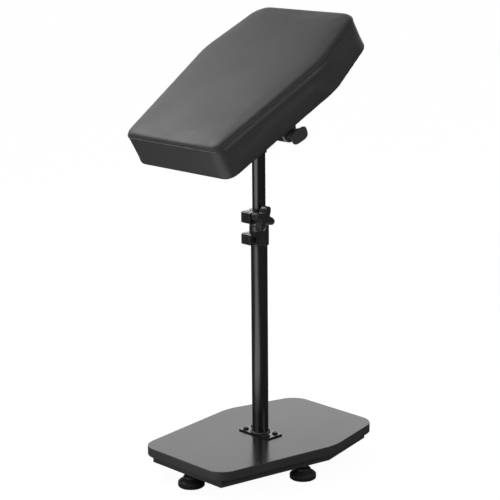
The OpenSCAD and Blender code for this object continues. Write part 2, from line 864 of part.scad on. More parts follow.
// One ring of the cushion's skin, set in from the pad's outline, at a height, with drawn-in sides
function cushion_ring(inset, z, draw) =
    let (p = inset_corners(pad_corners, inset),
        arcs = corner_arcs(p, [for (r = pad_radii) max(r - inset, cushion_min_r)], corner_steps))
    [for (i = [0:len(p) - 1]) each concat(
        [for (q = arcs[i]) [q[0], q[1], z]],
        [for (k = [1:side_steps]) let (s = k / (side_steps + 1), a = arcs[i][corner_steps],
            b = after(arcs, i)[0],
            q = a + (b - a) * s + leftwards(unit(b - a)) * draw * sin(180 * s)) [q[0], q[1], z]])];

// Rings from the recess for the board, down round the wrap, up the side and over the crown
cushion_top = pad_t + pad_crown;
cushion_rings = concat(
    [[pad_wrap, pad_board_t, 0], [pad_wrap, 0, 0], [seam_tuck, 0, 0]],
    [[0, seam_tuck, pad_draw / 2], [-side_swell, pad_t / 3, pad_draw],
        [0, pad_t - pad_seam - seam_tuck, pad_draw], [seam_tuck, pad_t - pad_seam, pad_draw],
        [0, pad_t - pad_seam + seam_tuck, pad_draw]],
    [for (i = [0:edge_steps]) let (a = 90 * i / edge_steps)
        [pad_edge_r * (1 - cos(a)), pad_t - pad_edge_r * (1 - sin(a)), pad_draw]],
    [for (i = [1:crown_steps]) let (s = i / crown_steps)
        [pad_edge_r + (crown_run - pad_edge_r) * s, pad_t + pad_crown * sin(90 * s), pad_draw * (1 - s)]]);

module pad_cushion() {
    rings = [for (c = cushion_rings) cushion_ring(c[0], c[1], c[2])];
    n = len(rings[0]);
    last = len(rings) - 1;
    points = concat([for (ring = rings) each ring], [[pad_len / 2 - pad_near, 0, cushion_top]]);
    sides = [for (k = [0:last - 1], i = [0:n - 1]) let (j = (i + 1) % n)
        each [[k * n + i, (k + 1) * n + i, (k + 1) * n + j], [k * n + i, (k + 1) * n + j, k * n + j]]];
    recess = [[for (i = [0:n - 1]) i]];
    crown = [for (i = [0:n - 1]) [last * n + i, (last + 1) * n, last * n + (i + 1) % n]];
    color(leather_black) tilted() translate([0, 0, pivot_drop])
        polyhedron(points = points, faces = concat(recess, sides, crown), convexity = 4);
}

// Tilt bolt and knob

tilt_washer_y = -ear_out_y - face_gap;
tilt_hub_y = tilt_washer_y - tilt_washer_t - face_gap;
tilt_face_y = tilt_hub_y - tilt_hub_l;
tilt_insert_y = tilt_hub_y - over;
tilt_insert_l = tilt_hub_l + tilt_knob_t - knob_cover;

module tilt_bolt() {
    color(zinc) tilted() {
        bar_y(tilt_bolt_r, tilt_insert_y - tilt_insert_l + stud_tip, ear_out_y + over);
        along_y(ear_out_y, ear_out_y + tilt_head_h) circle(tilt_head_r, $fn = 6);
    }
}

module tilt_washer() {
    color(zinc) tilted() difference() {
        bar_y(tilt_washer_r, tilt_washer_y - tilt_washer_t, tilt_washer_y);
        bar_y(tilt_bolt_r + slide_gap, tilt_washer_y - tilt_washer_t - over, tilt_washer_y + over);
    }
}

module tilt_knob() {
    color(plastic_black) tilted() difference() {
        union() {
            bar_y(tilt_hub_r, tilt_face_y - over, tilt_hub_y);
            translate([0, tilt_face_y - tilt_knob_t, 0])
                knob_head(squared_oval(tilt_knob_d, tilt_knob_w, tilt_squareness, tilt_knob_turn),
                    tilt_knob_d / 2, tilt_knob_t, tilt_tip_share * tilt_knob_t, tilt_hub_r);
        }
        bar_y(tilt_insert_r + seat_gap, tilt_insert_y - tilt_insert_l, tilt_insert_y);
        bar_y(tilt_bolt_r + seat_gap, tilt_insert_y - over, tilt_hub_y + over);
    }
}

module tilt_knob_insert() {
    color(brass) tilted() difference() {
        bar_y(tilt_insert_r, tilt_insert_y - tilt_insert_l, tilt_insert_y);
        bar_y(tilt_bolt_r + slide_gap, tilt_insert_y - tilt_insert_l + over, tilt_insert_y + over);
    }
}

base_board();
under_board();
board_screws();
foot_tee_nuts();
pole_flange();
flange_screws();
flange_washers();
flange_nuts();
outer_tube();
tube_weld();
guide_bush();
clamp_body();
lock_screw();
lock_nut();
clamp_bolt();
clamp_washer();
clamp_knob();
clamp_knob_insert();
near_foot_pad();
near_foot_stud();
far_foot_pad();
far_foot_stud();
left_foot_pad();
left_foot_stud();
right_foot_pad();
right_foot_stud();
slide_bush();
inner_tube();
head_socket();
head_tube();
head_bushes();
bracket_plate();
bracket_ear_right();
bracket_ear_left();
bracket_screws();
bracket_tee_nuts();
pad_board();
pad_cushion();
tilt_bolt();
tilt_washer();
tilt_knob();
tilt_knob_insert();
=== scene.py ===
# %% [markdown]
# # A tattoo arm rest stand
# The stand is a padded cushion on a pole, with a weighted board on four levelling feet below it.
# Its hard parts come from the CAD model as a fixed frame. This script dresses them: it rounds their
# edges, models the cushion, the knobs and the feet in full, and gives every surface its finish.

# %% Load the stand
import json
import math
import bpy
from mathutils import Matrix, Vector

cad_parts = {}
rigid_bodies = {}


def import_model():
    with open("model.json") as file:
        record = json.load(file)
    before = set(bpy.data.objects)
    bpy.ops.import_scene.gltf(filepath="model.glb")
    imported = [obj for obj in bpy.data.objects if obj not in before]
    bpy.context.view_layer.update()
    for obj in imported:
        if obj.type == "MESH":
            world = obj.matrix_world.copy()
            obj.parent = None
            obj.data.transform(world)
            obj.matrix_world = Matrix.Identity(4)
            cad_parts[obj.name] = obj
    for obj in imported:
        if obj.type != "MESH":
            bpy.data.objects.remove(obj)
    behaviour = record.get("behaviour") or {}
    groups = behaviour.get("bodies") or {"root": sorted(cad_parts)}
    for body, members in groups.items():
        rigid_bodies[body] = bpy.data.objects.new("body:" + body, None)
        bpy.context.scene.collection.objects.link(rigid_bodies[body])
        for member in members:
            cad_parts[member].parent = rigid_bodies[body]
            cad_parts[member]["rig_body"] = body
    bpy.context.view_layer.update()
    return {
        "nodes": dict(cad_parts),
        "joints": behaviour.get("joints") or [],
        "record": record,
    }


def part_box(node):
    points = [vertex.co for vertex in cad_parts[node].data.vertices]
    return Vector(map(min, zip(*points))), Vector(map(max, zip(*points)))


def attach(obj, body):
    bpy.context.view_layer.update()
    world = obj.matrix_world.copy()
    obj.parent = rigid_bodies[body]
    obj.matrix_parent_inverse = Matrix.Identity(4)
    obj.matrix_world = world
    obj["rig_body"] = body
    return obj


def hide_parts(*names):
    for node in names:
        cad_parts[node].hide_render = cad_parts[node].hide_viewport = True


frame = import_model()
nodes = frame["nodes"]
joint_at = {joint["name"]: Vector(joint["pos_m"]) for joint in frame["joints"] if "pos_m" in joint}
MM = 0.001

# %% [markdown]
# ## Where things are
# The pad is tilted about the cross tube. It is easiest to model it level, with the tilt axis as its
# origin, and to turn the finished mesh into place with one matrix. The knobs are modelled face up
# and turned to face the stand's right side. The axes come from the CAD model's own joints.
# The sizes of pieces are in millimetres. A six-sided outline runs from its near end to its far end.

# %% Places and sizes
PAD_TILT = math.radians(31)
pad_place = Matrix.Translation(joint_at["pad_tilt"]) @ Matrix.Rotation(-PAD_TILT, 4, "Y")
facing_right = Matrix.Rotation(math.radians(90), 4, "X")
clamp_axis = joint_at["clamp_turn"]
clamp_knob_place = Matrix.Translation((clamp_axis.x, 0, clamp_axis.z)) @ facing_right
tilt_knob_place = pad_place @ facing_right
PAD_UNDERSIDE = 50
PAD_SIDE = 68
PAD_CORNERS = dict(near=-190.5, bend=80.5, far=222.5, near_w=251, bend_w=318, far_w=251)
BASE_CORNERS = dict(near=-211, bend=53, far=211, near_w=221, bend_w=306, far_w=221)
UNDER_CORNERS = dict(near=-195, bend=52.2, far=195, near_w=193.7, bend_w=273.3, far_w=196.5)


def heights(node_name):
    """The heights of a CAD node's underside and top."""
    low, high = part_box(node_name)
    return round(low.z / MM, 3), round(high.z / MM, 3)


def reach(node_name):
    """How far out to the right a knob's back and face are."""
    low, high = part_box(node_name)
    return round(-high.y / MM, 3), round(-low.y / MM, 3)


print("base board from", *heights("base_board"), "under board from", *heights("under_board"))

# %% [markdown]
# ## Working in edit mode
# Blender's operators act on whatever is selected, so each piece starts from a clean selection.
# These helpers start a piece, select parts of its mesh by place, and apply its modifiers.


# %% Helpers for starting, selecting and finishing
def object_mode():
    if bpy.context.mode != "OBJECT":
        bpy.ops.object.mode_set(mode="OBJECT")


def take(*pieces):
    """Selects these pieces and nothing else."""
    object_mode()
    bpy.ops.object.select_all(action="DESELECT")
    for piece in pieces:
        piece.select_set(True)
    bpy.context.view_layer.objects.active = pieces[0]


def start(name, primitive, **sizes):
    """Adds a primitive at the origin and opens it in edit mode with all of it selected."""
    object_mode()
    bpy.ops.object.select_all(action="DESELECT")
    getattr(bpy.ops.mesh, "primitive_" + primitive + "_add")(**sizes)
    piece = bpy.context.object
    piece.name = name
    bpy.ops.object.mode_set(mode="EDIT")
    bpy.ops.mesh.select_all(action="SELECT")
    return piece


def pick(piece, kind, test):
    """Selects the vertices, edges or polygons that pass the test."""
    bpy.ops.object.mode_set(mode="OBJECT")
    mesh = piece.data
    for part in (mesh.vertices, mesh.edges, mesh.polygons):
        part.foreach_set("select", [False] * len(part))
    for part in getattr(mesh, kind):
        if kind == "vertices":
            part.select = test(part.co)
        elif kind == "edges":
            part.select = test(*(mesh.vertices[i].co for i in part.vertices))
        else:
            part.select = test(part.center, part.normal)
    bpy.ops.object.mode_set(mode="EDIT")
    bpy.ops.mesh.select_mode(type={"vertices": "VERT", "edges": "EDGE", "polygons": "FACE"}[kind])


def meets(a, b):
    """True where two coordinates, in metres, are the same to a tenth of a millimetre."""
    return abs(a - b) < 0.1 * MM


def close_mesh(merge=0.002 * MM):
    """Merges doubles, turns the faces outwards and leaves edit mode."""
    bpy.ops.mesh.select_all(action="SELECT")
    bpy.ops.mesh.remove_doubles(threshold=merge)
    bpy.ops.mesh.normals_make_consistent(inside=False)
    bpy.ops.object.mode_set(mode="OBJECT")


def modify(piece, kind, **settings):
    """Adds a modifier with these settings and applies it."""
    take(piece)
    modifier = piece.modifiers.new(kind.title(), kind)
    for key, value in settings.items():
        setattr(modifier, key, value)
    bpy.ops.object.modifier_apply(modifier=modifier.name)


def round_edges(piece, width, steps=3, angle=28):
    modify(piece, "BEVEL", width=width * MM, segments=steps, limit_method="ANGLE",
           angle_limit=math.radians(angle), miter_outer="MITER_ARC", use_clamp_overlap=True)


def smooth(piece, angle=35):
    take(piece)
    bpy.ops.object.shade_smooth_by_angle(angle=math.radians(angle))


def even_shading(piece):
    """Lets the large faces lead the shading, so that they look flat up to their rounds."""
    modify(piece, "WEIGHTED_NORMAL", keep_sharp=True)


def settle(piece, body, material, slot, *stands_for, place=None):
    """Moves the mesh into place, rides it on its body and gives it its finish.

    With None for the material, the piece keeps the ones that it has.
    """
    if place is not None:
        piece.data.transform(place)
        piece.data.update()
    if material is not None:
        piece.data.materials.clear()
        piece.data.materials.append(material)
    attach(piece, body)
    if stands_for:
        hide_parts(*stands_for)
    print(piece.name, len(piece.data.polygons), "faces on", body)


# %% [markdown]
# ## Working with shader nodes
# A finish and the studio's light are both small networks of nodes. Building them by hand means
# adding nodes, typing values and drawing links, and these helpers do the same three things.


# %% Helpers for shader nodes
def node(tree, kind, **values):
    """Adds a node and sets its options and its sockets' values by name."""
    made = tree.nodes.new(kind)
    for key, value in values.items():
        if hasattr(made, key):
            setattr(made, key, value)
        else:
            made.inputs[key.replace("_", " ")].default_value = value
    return made


def join(tree, *pairs):
    for output, socket in pairs:
        tree.links.new(output, socket)


def grey(value):
    return value, value, value, 1


# %% [markdown]
# ## Camera
# The photograph was taken with a long lens from a little above, near the stand's right front.
# The camera stands at the same place, found from the outlines of the base, the pole and the pad.

# %% Set the camera
EYE = (-2.128, -2.213, 1.1538)
LENS = 119.03
FAR_ENOUGH = 100
look = Vector((0.6705, 0.7053, -0.2301)).normalized()
right = Vector((0.7235, -0.6903, -0.0078)).normalized()
up = right.cross(look).normalized()
camera = bpy.data.objects.new("camera", bpy.data.cameras.new("camera"))
bpy.context.scene.collection.objects.link(camera)
camera.matrix_world = Matrix.Translation(EYE) @ Matrix((right, up, -look)).transposed().to_4x4()
camera.data.lens = LENS
camera.data.clip_end = FAR_ENOUGH
bpy.context.scene.camera = camera
print("camera:", round(Vector(EYE).length, 2), "m away, with a lens of", LENS, "mm")

# %% [markdown]
# ## Studio
# A wide pale floor fills the picture. The photograph is cut out on white, with little light thrown
# up from below, so rays that bounce off the floor find it darker than the camera does.
# The room is dim, and darkest on the camera's side. The light comes from these:
# a bright backdrop low behind the stand, which the base mirrors;
# a low soft box on the left and one on the floor below it, which draw the stripe of light down the
# tubes; a soft box behind and above, which gives the cushion its sheen; and a soft fill from the
# right.

# %% Floor
floor = start("floor", "circle", vertices=96, radius=45, fill_type="NGON")
object_mode()

paper = bpy.data.materials.new("studio paper")
paper.use_nodes = True
sheet = paper.node_tree
sheet.nodes.clear()
shadowed = node(sheet, "ShaderNodeBsdfDiffuse", Color=grey(0.12))
lit = node(sheet, "ShaderNodeEmission", Color=grey(0.96))
seen = node(sheet, "ShaderNodeAddShader")
bounced = node(sheet, "ShaderNodeBsdfDiffuse", Color=grey(0.17))
ray = node(sheet, "ShaderNodeLightPath")
either = node(sheet, "ShaderNodeMixShader")
paper_out = node(sheet, "ShaderNodeOutputMaterial")
join(sheet, (shadowed.outputs[0], seen.inputs[0]), (lit.outputs[0], seen.inputs[1]),
     (ray.outputs["Is Camera Ray"], either.inputs[0]), (bounced.outputs[0], either.inputs[1]),
     (seen.outputs[0], either.inputs[2]), (either.outputs[0], paper_out.inputs[0]))
floor.data.materials.append(paper)

# %% Backdrop
BEHIND = (0.69, 0.724, 0.0)
CAMERA_SIDE, ROOM, BACKDROP = 0.07, 0.28, 1.8
world = bpy.data.worlds.new("studio")
bpy.context.scene.world = world
world.use_nodes = True
sky = world.node_tree
sky.nodes.clear()


def fade(dim_at, bright_at, **values):
    """A value that rises smoothly from the first place to the second."""
    return node(sky, "ShaderNodeMapRange", interpolation_type="SMOOTHSTEP", From_Min=dim_at,
                From_Max=bright_at, **values)


where = node(sky, "ShaderNodeTexCoord")
ahead = node(sky, "ShaderNodeVectorMath", operation="DOT_PRODUCT")
ahead.inputs[1].default_value = BEHIND
height = node(sky, "ShaderNodeSeparateXYZ")
side_fade = fade(0.6, 0.92)
top_fade = fade(0.85, 0.5)
front_fade = fade(-0.95, -0.72, To_Min=CAMERA_SIDE, To_Max=ROOM)
both = node(sky, "ShaderNodeMath", operation="MULTIPLY")
strength = node(sky, "ShaderNodeMapRange", To_Max=BACKDROP)
glow = node(sky, "ShaderNodeBackground")
sky_out = node(sky, "ShaderNodeOutputWorld")
join(sky, (where.outputs["Generated"], ahead.inputs[0]), (where.outputs["Generated"], height.inputs[0]),
     (ahead.outputs["Value"], side_fade.inputs["Value"]),
     (ahead.outputs["Value"], front_fade.inputs["Value"]),
     (front_fade.outputs[0], strength.inputs["To Min"]), (height.outputs["Z"], top_fade.inputs["Value"]),
     (side_fade.outputs[0], both.inputs[0]), (top_fade.outputs[0], both.inputs[1]),
     (both.outputs[0], strength.inputs["Value"]), (strength.outputs[0], glow.inputs["Strength"]),
     (glow.outputs[0], sky_out.inputs[0]))


# %% Soft boxes
def soft_box(name, place, aim, size, power):
    lamp = bpy.data.objects.new(name, bpy.data.lights.new(name, "AREA"))
    lamp.data.shape, lamp.data.size, lamp.data.size_y = "RECTANGLE", *size
    lamp.data.energy = power
    lamp.visible_camera = False
    lamp.location = place
    lamp.rotation_mode = "QUATERNION"
    lamp.rotation_quaternion = (Vector(aim) - Vector(place)).to_track_quat("-Z", "Y")
    bpy.context.scene.collection.objects.link(lamp)
    print("soft box", name, power, "W")


soft_box("left", place=(-2.2, 0.3, 0.35), aim=(0, 0, 0.5), size=(2.4, 1.0), power=13)
soft_box("low left", place=(-1.1, -0.12, 0.01), aim=(-1.1, -0.12, 1), size=(1.4, 0.9), power=5)
soft_box("behind", place=(-0.36, 1.13, 1.88), aim=(-0.05, 0.03, 0.8), size=(0.8, 0.8), power=12)
soft_box("right", place=(0.2, -2.45, 1.35), aim=(0, 0, 0.7), size=(1.6, 0.9), power=11)
bpy.context.scene.view_settings.view_transform = "Standard"

# %% [markdown]
# ## Shared effects
# Several finishes need the same small things: a skin of tiny bumps, and soft cloudy variation from
# handling and dust. Each is a node group with named inputs, used by every material that needs it.


# %% Start a node group
def new_group(name, inputs, outputs):
    group = bpy.data.node_groups.new(name, "ShaderNodeTree")
    for label, value in inputs:
        socket = group.interface.new_socket(label, in_out="INPUT", socket_type="NodeSocketFloat")
        socket.default_value = value
    for label in outputs:
        group.interface.new_socket(label, in_out="OUTPUT", socket_type="NodeSocketFloat")
    return group, group.nodes.new("NodeGroupInput"), group.nodes.new("NodeGroupOutput")


# %% Group: fine grain
grain, g_in, g_out = new_group("fine grain", [("Cells per metre", 900), ("Softness", 0.5)], ["Height"])
spot = node(grain, "ShaderNodeTexCoord")
cells = node(grain, "ShaderNodeTexVoronoi", feature="SMOOTH_F1")
specks = node(grain, "ShaderNodeTexNoise", Detail=3.0, Roughness=0.6)
mingled = node(grain, "ShaderNodeMix")
join(grain, (spot.outputs["Object"], cells.inputs["Vector"]),
     (spot.outputs["Object"], specks.inputs["Vector"]),
     (g_in.outputs["Cells per metre"], cells.inputs["Scale"]),
     (g_in.outputs["Cells per metre"], specks.inputs["Scale"]),
     (g_in.outputs["Softness"], mingled.inputs[0]), (cells.outputs["Distance"], mingled.inputs[2]),
     (specks.outputs[0], mingled.inputs[3]), (mingled.outputs[0], g_out.inputs["Height"]))
print("group:", grain.name, "with", len(grain.nodes), "nodes")

# %% Group: handling and dust
handling, h_in, h_out = new_group(
    "handling", [("Patches per metre", 14), ("Amount", 0.1), ("Middle", 0.4)], ["Value", "Mask"])
spot = node(handling, "ShaderNodeTexCoord")
cloud = node(handling, "ShaderNodeTexNoise", Detail=5.0, Roughness=0.55)
spread = node(handling, "ShaderNodeMapRange", From_Min=0.3, From_Max=0.7, To_Min=-1.0, To_Max=1.0)
scaled = node(handling, "ShaderNodeMath", operation="MULTIPLY")
added = node(handling, "ShaderNodeMath", operation="ADD")
join(handling, (spot.outputs["Object"], cloud.inputs["Vector"]),
     (h_in.outputs["Patches per metre"], cloud.inputs["Scale"]), (cloud.outputs[0], spread.inputs[0]),
     (spread.outputs[0], scaled.inputs[0]), (h_in.outputs["Amount"], scaled.inputs[1]),
     (scaled.outputs[0], added.inputs[0]), (h_in.outputs["Middle"], added.inputs[1]),
     (added.outputs[0], h_out.inputs["Value"]), (cloud.outputs[0], h_out.inputs["Mask"]))
print("group:", handling.name, "with", len(handling.nodes), "nodes")


# %% [markdown]
# ## Finishes
# Each finish has two close shades that a cloudy mask mixes, a roughness that varies with handling,
# and a bump from fine grain. Only the numbers differ, so one function makes them all. The grain's
# depth is in millimetres, and the shades are the linear colours that a shader works in.

# %% Make a finish
def use(tree, group, **values):
    """Places a node group in a material, with its own values."""
    made = tree.nodes.new("ShaderNodeGroup")
    made.node_tree = group
    for key, value in values.items():
        made.inputs[key.replace("_", " ")].default_value = value
    return made


def finish(name, dark, light, rough, vary, cells_per_m, grain_mm, metal=0.0, softness=0.5, patches=14,
           **shader):
    """A material: shader holds any further sockets of the Principled shader by name."""
    made = bpy.data.materials.new(name)
    made.use_nodes = True
    tree = made.node_tree
    skin = tree.nodes["Principled BSDF"]
    skin.inputs["Metallic"].default_value = metal
    for key, value in shader.items():
        skin.inputs[key.replace("_", " ")].default_value = value
    worn = use(tree, handling, Amount=vary, Middle=rough, Patches_per_metre=patches)
    shade = node(tree, "ShaderNodeMix", data_type="RGBA")
    shade.inputs[6].default_value = (*dark, 1)
    shade.inputs[7].default_value = (*light, 1)
    bumps = use(tree, grain, Cells_per_metre=cells_per_m, Softness=softness)
    relief = node(tree, "ShaderNodeBump", Distance=grain_mm * MM, Strength=1.0)
    join(tree, (worn.outputs["Value"], skin.inputs["Roughness"]), (worn.outputs["Mask"], shade.inputs[0]),
         (shade.outputs[2], skin.inputs["Base Color"]), (bumps.outputs[0], relief.inputs["Height"]),
         (relief.outputs[0], skin.inputs["Normal"]))
    print("finish:", name)
    return made


# %% [markdown]
# The cushion's cloth is a coated fabric with a soft grain, and the cord in its seam is rubbed a little
# smoother and painted a little lighter, a painted highlight along the seam. The base has a smooth laminate
# on its faces and a plainer, duller band round its edge, painted paler as painted light on the base's
# sides. The board under the pad has a black lining.

# %% Cloth and boards
leathercloth = finish("black leathercloth", dark=(0.047, 0.047, 0.048), light=(0.056, 0.056, 0.057),
                      rough=0.48, vary=0.05, cells_per_m=700, grain_mm=0.12, softness=0.35, patches=9)
# Painted highlight: the piping's lighter shade stands in for the light caught along the seam's cord.
piping_cloth_painted_highlight = finish("black piping", dark=(0.06, 0.06, 0.061), light=(0.075, 0.075, 0.076),
                      rough=0.3, vary=0.04, cells_per_m=700, grain_mm=0.06, softness=0.35)
laminate = finish("black laminate", dark=(0.014, 0.014, 0.015), light=(0.018, 0.018, 0.019),
                  rough=0.2, vary=0.03, cells_per_m=900, grain_mm=0.004, patches=6)
# Painted light: the band is a real edge material, but its pale shade stands in for the light on the base's
# sides.
edge_band_painted_light = finish("black edge band", dark=(0.05, 0.05, 0.051), light=(0.065, 0.065, 0.066),
                   rough=0.45, vary=0.06, cells_per_m=1500, grain_mm=0.03)
lining = finish("black board lining", dark=(0.012, 0.012, 0.012), light=(0.022, 0.022, 0.022),
                rough=0.85, vary=0.08, cells_per_m=1200, grain_mm=0.2)

# %% [markdown]
# The steel is powder coated, which leaves a fine soft ripple. The tubes' coat is deep black and shiny, and
# the bracket's is duller and painted much paler: painted light that stands in for the light thrown up under
# the pad. The screws are black oxide or zinc plate, which are metals, so their shade is the colour of their
# reflections.

# %% Coated and bare metals
powder_coat = finish("black powder coat", dark=(0.006, 0.006, 0.0065), light=(0.010, 0.010, 0.0105),
                     rough=0.22, vary=0.04, cells_per_m=620, grain_mm=0.01, softness=0.9,
                     Specular_IOR_Level=1.0)
# Painted light: the bracket's pale shade stands in for light bounced up under the pad.
bracket_coat_painted_light = finish("dull powder coat", dark=(0.07, 0.07, 0.073), light=(0.09, 0.09, 0.093),
                      rough=0.4, vary=0.05, cells_per_m=620, grain_mm=0.02)
oxide = finish("black oxide steel", dark=(0.03, 0.03, 0.032), light=(0.05, 0.05, 0.054),
               rough=0.36, vary=0.08, cells_per_m=1800, grain_mm=0.02, metal=0.9)
zinc = finish("zinc plate", dark=(0.3, 0.305, 0.32), light=(0.4, 0.405, 0.415),
              rough=0.36, vary=0.08, cells_per_m=1500, grain_mm=0.02, metal=1.0)
brass = finish("turned brass", dark=(0.62, 0.45, 0.2), light=(0.74, 0.57, 0.3),
               rough=0.3, vary=0.06, cells_per_m=1500, grain_mm=0.01, metal=1.0)

# %% [markdown]
# The clamp is a shiny moulded plastic. The tilt knob's plastic is painted paler all over, as painted light
# that stands in for the light falling on it; the feet are a duller plastic, and the bushes are plain nylon.

# %% Plastics
moulded = finish("black moulded plastic", dark=(0.022, 0.022, 0.023), light=(0.034, 0.034, 0.035),
                 rough=0.2, vary=0.05, cells_per_m=2400, grain_mm=0.02, Specular_IOR_Level=0.9)
# Painted light: this shade is far paler than black plastic and stands in for the light that falls on the
# tilt knob.
knob_plastic_painted_light = finish("handled black plastic", dark=(0.065, 0.065, 0.067), light=(0.09, 0.09, 0.092),
                      rough=0.36, vary=0.08, cells_per_m=2400, grain_mm=0.03)
foot_plastic = finish("black foot plastic", dark=(0.02, 0.02, 0.021), light=(0.034, 0.034, 0.035),
                      rough=0.42, vary=0.08, cells_per_m=2000, grain_mm=0.04)
nylon = finish("natural nylon", dark=(0.62, 0.62, 0.58), light=(0.7, 0.7, 0.66),
               rough=0.5, vary=0.05, cells_per_m=900, grain_mm=0.02)

# %% Give the CAD nodes that stay their finishes
finish_of_slot = {"laminate": laminate, "dark_steel": oxide, "zinc_steel": zinc, "black_coat": powder_coat,
                  "black_plastic": moulded, "nylon": nylon, "brass": brass, "plywood": lining,
                  "leathercloth": leathercloth}
slot_of_node = {part["node"]: part["material_slot"] for part in frame["record"]["subparts"]}
for name, cad_node in nodes.items():
    cad_node.data.materials.clear()
    cad_node.data.materials.append(finish_of_slot[slot_of_node[name]])
print("CAD nodes with a finish:", len(nodes))


# %% [markdown]
# ## Six-sided boards
# The base, the board under it and the cushion share one outline: straight ends, and sides that run
# out to a bend. A plane is cut across at the bend and widened there, its corners are rounded by
# vertex bevels, and it is extruded to its thickness. A vertex bevel takes the length that it cuts
# from each edge, so that length is worked out from the corner's angle and radius.

# %% Make a six-sided board
def cut_length(radius, corner, before, after):
    a = (Vector(before) - Vector(corner)).normalized()
    b = (Vector(after) - Vector(corner)).normalized()
    return radius / math.tan(a.angle(b) / 2)


def six_sided(name, near, bend, far, near_w, bend_w, far_w, near_r, bend_r, far_r, z, thick):
    """A flat six-sided board, in millimetres, with its faces turned outwards."""
    piece = start(name, "plane", size=MM)
    bpy.ops.transform.resize(value=(far - near, near_w, 1))
    bpy.ops.transform.translate(value=((near + far) / 2 * MM, 0, z * MM))
    bpy.ops.mesh.bisect(plane_co=(bend * MM, 0, 0), plane_no=(1, 0, 0))
    for x, width in ((bend, bend_w), (far, far_w)):
        pick(piece, "vertices", lambda co: meets(co.x, x * MM))
        bpy.ops.transform.resize(value=(1, width / near_w, 1))
    pick(piece, "edges", lambda a, b: meets(a.x, bend * MM) and meets(b.x, bend * MM))
    bpy.ops.mesh.dissolve_edges(use_verts=False)
    corners = [(near, near_w / 2), (bend, bend_w / 2), (far, far_w / 2)]
    side = [(near, -near_w / 2), *corners, (far, -far_w / 2)]
    for before, (x, y), after, radius in zip(side, corners, side[2:], (near_r, bend_r, far_r)):
        pick(piece, "vertices", lambda co: meets(co.x, x * MM) and meets(abs(co.y), y * MM))
        bpy.ops.mesh.bevel(affect="VERTICES", offset=cut_length(radius, (x, y), before, after) * MM,
                           segments=10, clamp_overlap=False)
    bpy.ops.mesh.select_all(action="SELECT")
    bpy.ops.mesh.extrude_region_move(TRANSFORM_OT_translate={"value": (0, 0, thick * MM)})
    close_mesh()
    print(name, "outline of", len(piece.data.vertices) // 2, "points")
    return piece


# %% [markdown]
# ## The base
# The base is a fibreboard with a satin laminate on its faces and a plain band round its edge, over a
# smaller weighting board. The edges are broken with a small round, which shows as the thin line of light
# along the top edge. The laminate and the band are two materials on one piece: the band, which also covers
# the rounds, is painted much paler than the laminate, as painted light on the base's sides and edges.

# %% Base board and under board
FACE_SLOT, BAND_SLOT = 0, 1
low, top = heights("base_board")
base_board = six_sided("base_board_dressed", **BASE_CORNERS, near_r=37, bend_r=96, far_r=40,
                       z=low, thick=top - low)
round_edges(base_board, 1.3, steps=3, angle=60)
base_board.data.materials.append(laminate)
base_board.data.materials.append(edge_band_painted_light)
# Faces that aren't level take the band's paler shade, which is painted light on the sides and rounds.
for face in base_board.data.polygons:
    face.material_index = FACE_SLOT if abs(face.normal.z) > 0.9 else BAND_SLOT
smooth(base_board)
even_shading(base_board)
settle(base_board, "base", None, "laminate", "base_board")

low, top = heights("under_board")
under_board = six_sided("under_board_dressed", **UNDER_CORNERS, near_r=3, bend_r=3, far_r=3,
                        z=low, thick=top - low)
round_edges(under_board, 0.8, steps=2, angle=60)
smooth(under_board)
even_shading(under_board)
settle(under_board, "base", edge_band_painted_light, "laminate", "under_board")


# %% [markdown]
# ## Turned shapes
# A foot, a hub and a ring are round about one axis. A circle is extruded edge by edge and resized
# at each step, so it climbs along the piece's profile as a lathe tool would. An outline that isn't
# round, such as a ribbed rim or a lobed head, is a formula that moves the vertices in or out.

# %% Turn a profile
TINY = 0.002


def turned(name, steps, profile):
    """A round piece from its profile: pairs of radius and height in millimetres."""
    (r, z), *rest = profile
    r = max(r, TINY)
    piece = start(name, "circle", vertices=steps, radius=r * MM, fill_type="NOTHING")
    bpy.ops.transform.translate(value=(0, 0, z * MM))
    for next_r, next_z in rest:
        next_r = max(next_r, TINY)
        bpy.ops.mesh.extrude_edges_move(TRANSFORM_OT_translate={"value": (0, 0, (next_z - z) * MM)})
        bpy.ops.transform.resize(value=(next_r / r, next_r / r, 1), center_override=(0, 0, next_z * MM))
        r, z = next_r, next_z
    close_mesh(merge=2 * TINY * MM)
    return piece


def reshape(piece, radius_at, drawn_r, bottom=-math.inf, top=math.inf):
    """Moves vertices in or out so that a circle of drawn_r takes the outline radius_at(angle)."""
    for v in piece.data.vertices:
        if math.hypot(v.co.x, v.co.y) > TINY * MM and bottom * MM <= v.co.z <= top * MM:
            share = radius_at(math.atan2(v.co.y, v.co.x)) / drawn_r
            v.co.x, v.co.y = v.co.x * share, v.co.y * share
    piece.data.update()


def lobes(tip, waist, count, first):
    """An outline that swells and narrows by one wave for each lobe."""
    return lambda a: (tip + waist + (tip - waist) * math.cos(count * (a - math.radians(first)))) / 2


def squared_oval(length, width, squareness, turn):
    """An oval outline with fuller corners."""
    def radius_at(a):
        a -= math.radians(turn)
        return (abs(math.cos(a) * 2 / length) ** squareness
                + abs(math.sin(a) * 2 / width) ** squareness) ** (-1 / squareness)
    return radius_at


# %% [markdown]
# ## Levelling feet
# Each foot is a moulded pad: a ribbed rim for the fingers, a dome, and a neck that the threaded
# stud turns in. The ribs are a fine wave in the rim's outline. One foot is modelled and copied to
# the four places, which are the places of the studs' joints. The dome is drawn as shares of its
# width and of its height.

